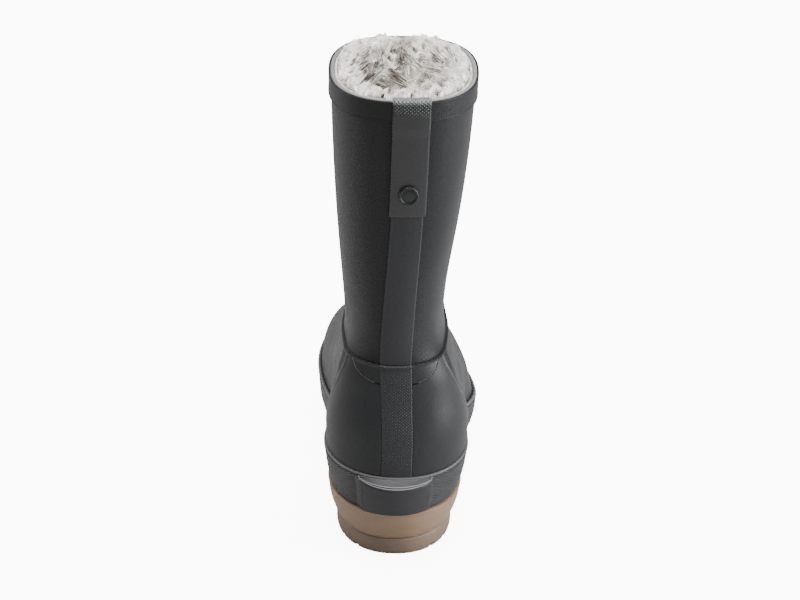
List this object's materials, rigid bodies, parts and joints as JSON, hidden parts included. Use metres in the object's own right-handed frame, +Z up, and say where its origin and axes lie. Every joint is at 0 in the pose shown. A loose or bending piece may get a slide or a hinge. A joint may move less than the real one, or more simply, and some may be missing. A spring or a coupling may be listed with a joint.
{
  "type": "rubber boot",
  "caption": "Dark grey mid-calf rubber boot for the right foot, with a gum sole, a pull tab at the back and a deep pale fur lining, standing empty.",
  "frame": {"origin": "middle of the boot's footprint, on the floor that the tread stands on", "axes": "+Z up, +Y towards the toe, +X towards the outer side of a right foot"},
  "size_m": [0.1158, 0.2928, 0.3327],
  "materials": {
    "dark_rubber": "satin charcoal, with a soft bluish grey sheen",
    "gum_rubber": "satin tan gum",
    "tread_rubber": "matt brown gum",
    "pale_fur": "deep off-white pile with grey-brown tips",
    "footbed_felt": "matt felt"
  },
  "bodies": {
    "root": {"outsole": "tread_rubber", "midsole": "gum_rubber", "foxing": "dark_rubber", "upper": "dark_rubber", "heel_counter_inner": "dark_rubber", "heel_counter_outer": "dark_rubber", "ankle_patch_inner": "dark_rubber", "ankle_patch_outer": "dark_rubber", "back_strap": "dark_rubber", "collar_band": "dark_rubber", "pull_tab": "dark_rubber", "button": "dark_rubber", "fur_lining": "pale_fur", "insole": "footbed_felt"}
  },
  "joints": []
}
